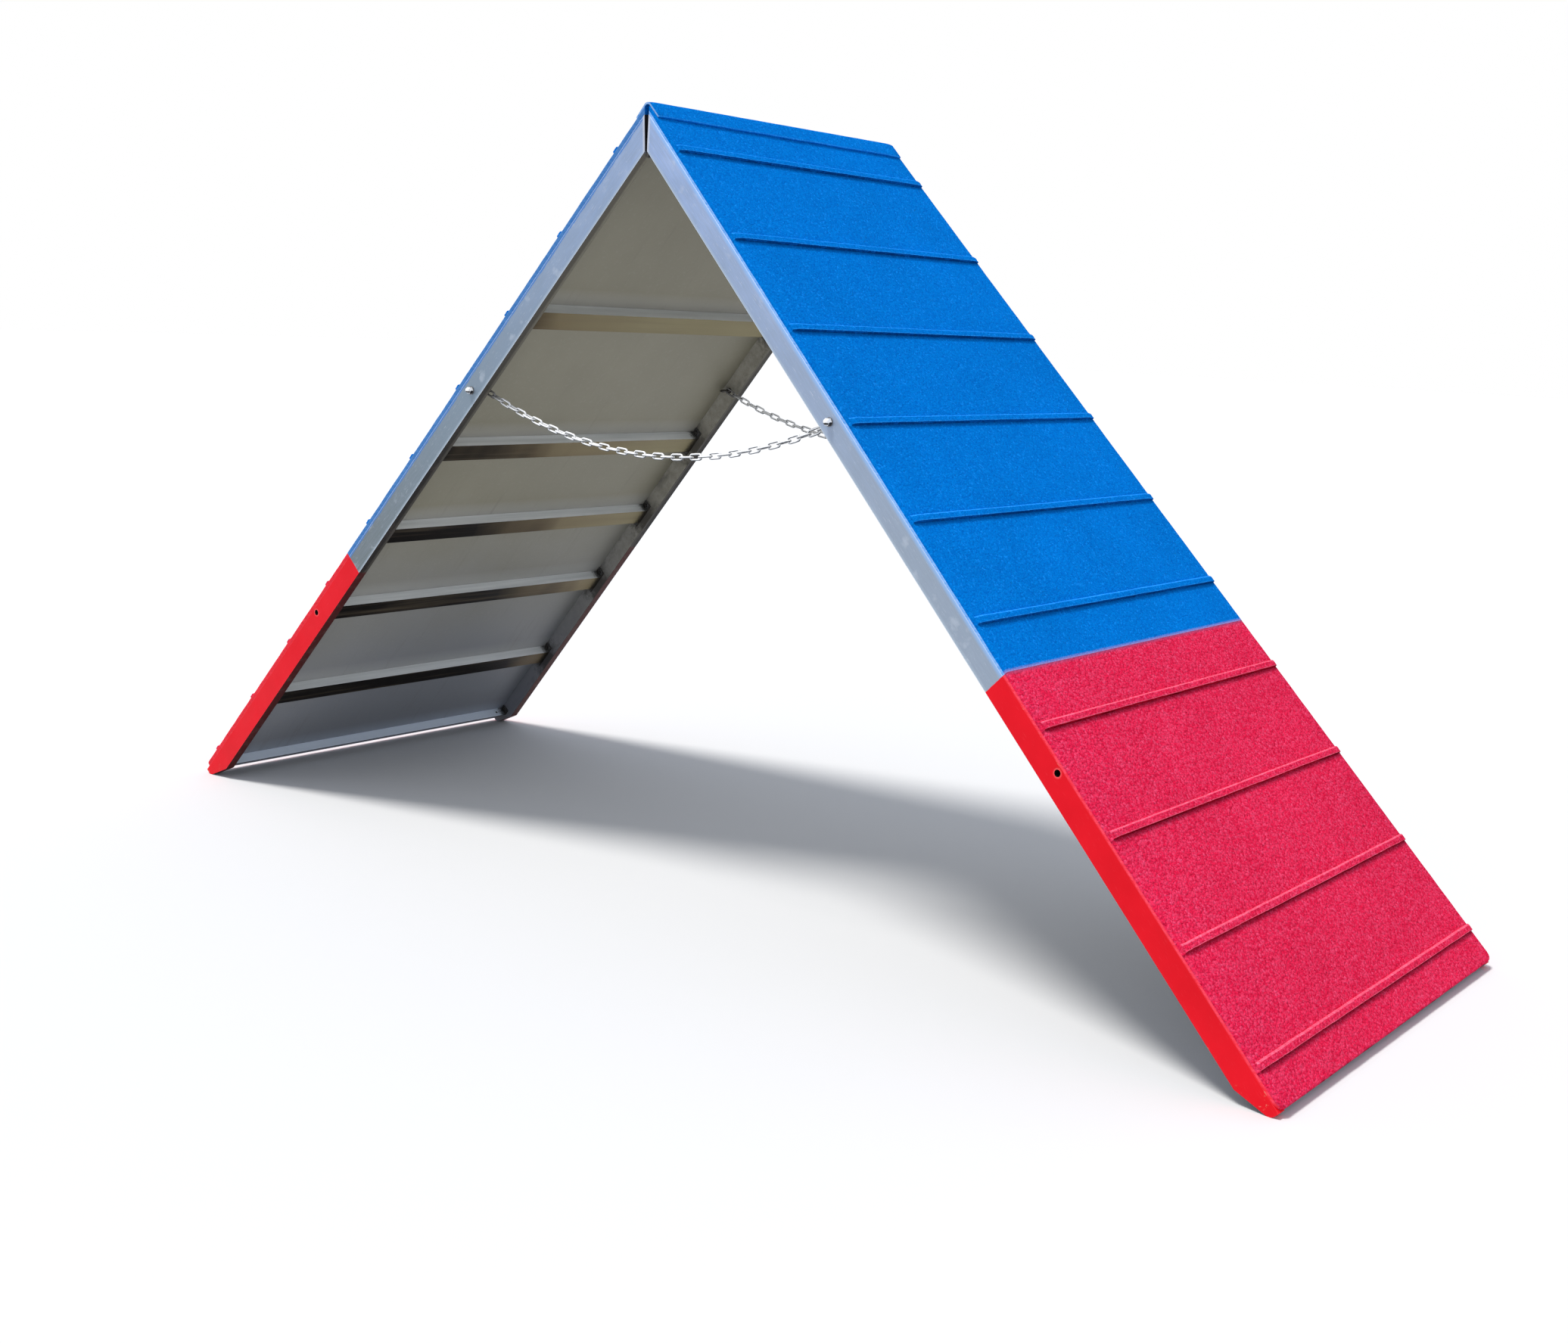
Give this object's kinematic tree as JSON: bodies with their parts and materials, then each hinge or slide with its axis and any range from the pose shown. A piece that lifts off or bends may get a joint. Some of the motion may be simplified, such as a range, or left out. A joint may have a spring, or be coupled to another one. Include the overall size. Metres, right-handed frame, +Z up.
{
  "type": "agility a-frame",
  "caption": "Folding dog agility A-frame: slatted rubber ramps hinged at the ridge, on aluminium rails with crossmembers, red contact zones and stay chains.",
  "frame": {"origin": "on the ground, straight under the middle of the ridge", "axes": "+X along the run towards the right ramp, +Y across towards the far rails, +Z up"},
  "size_m": [3.7842, 1.139, 1.9502],
  "materials": {
    "rail_aluminium": "satin mill finish, painted red on the rails beside the contact zone",
    "deck_panel": "smooth warm grey sheet",
    "blue_rubber": "bonded rubber granules, rough",
    "red_rubber": "bonded rubber granules, rough",
    "zinc_steel": "bright zinc plating",
    "dark_steel": "dull dark steel"
  },
  "bodies": {
    "left_ramp": {"left_near_rail": "rail_aluminium", "left_far_rail": "rail_aluminium", "left_deck_panel": "deck_panel", "left_blue_surface": "blue_rubber", "left_red_surface": "red_rubber", "left_blue_slats": "blue_rubber", "left_red_slats": "red_rubber", "left_crossmember_1": "rail_aluminium", "left_crossmember_2": "rail_aluminium", "left_crossmember_3": "rail_aluminium", "left_crossmember_4": "rail_aluminium", "left_crossmember_5": "rail_aluminium", "left_foot_angle": "rail_aluminium", "left_ridge_plate": "rail_aluminium", "left_frame_screws": "dark_steel", "left_frame_washers": "zinc_steel", "left_eye_bolts": "zinc_steel", "left_dome_nuts": "zinc_steel", "left_nut_washers": "zinc_steel", "left_transport_bushes": "dark_steel", "left_near_hinge_leaf": "dark_steel", "left_far_hinge_leaf": "dark_steel", "left_hinge_screws": "zinc_steel", "near_hinge_pin": "zinc_steel", "far_hinge_pin": "zinc_steel", "near_chain": "zinc_steel", "far_chain": "zinc_steel", "ridge_flap": "blue_rubber"},
    "right_ramp": {"right_near_rail": "rail_aluminium", "right_far_rail": "rail_aluminium", "right_deck_panel": "deck_panel", "right_blue_surface": "blue_rubber", "right_red_surface": "red_rubber", "right_blue_slats": "blue_rubber", "right_red_slats": "red_rubber", "right_crossmember_1": "rail_aluminium", "right_crossmember_2": "rail_aluminium", "right_crossmember_3": "rail_aluminium", "right_crossmember_4": "rail_aluminium", "right_crossmember_5": "rail_aluminium", "right_foot_angle": "rail_aluminium", "right_ridge_plate": "rail_aluminium", "right_frame_screws": "dark_steel", "right_frame_washers": "zinc_steel", "right_eye_bolts": "zinc_steel", "right_dome_nuts": "zinc_steel", "right_nut_washers": "zinc_steel", "right_transport_bushes": "dark_steel", "right_near_hinge_leaf": "dark_steel", "right_far_hinge_leaf": "dark_steel", "right_hinge_screws": "zinc_steel"}
  },
  "joints": [
    {"name": "fold", "type": "hinge", "parent": "left_ramp", "child": "right_ramp", "pos_m": [0, 0, 1.83095], "axis": [0, 1, 0], "range_deg": [-3.1, 89], "deforming": ["near_chain", "far_chain", "ridge_flap"]}
  ]
}
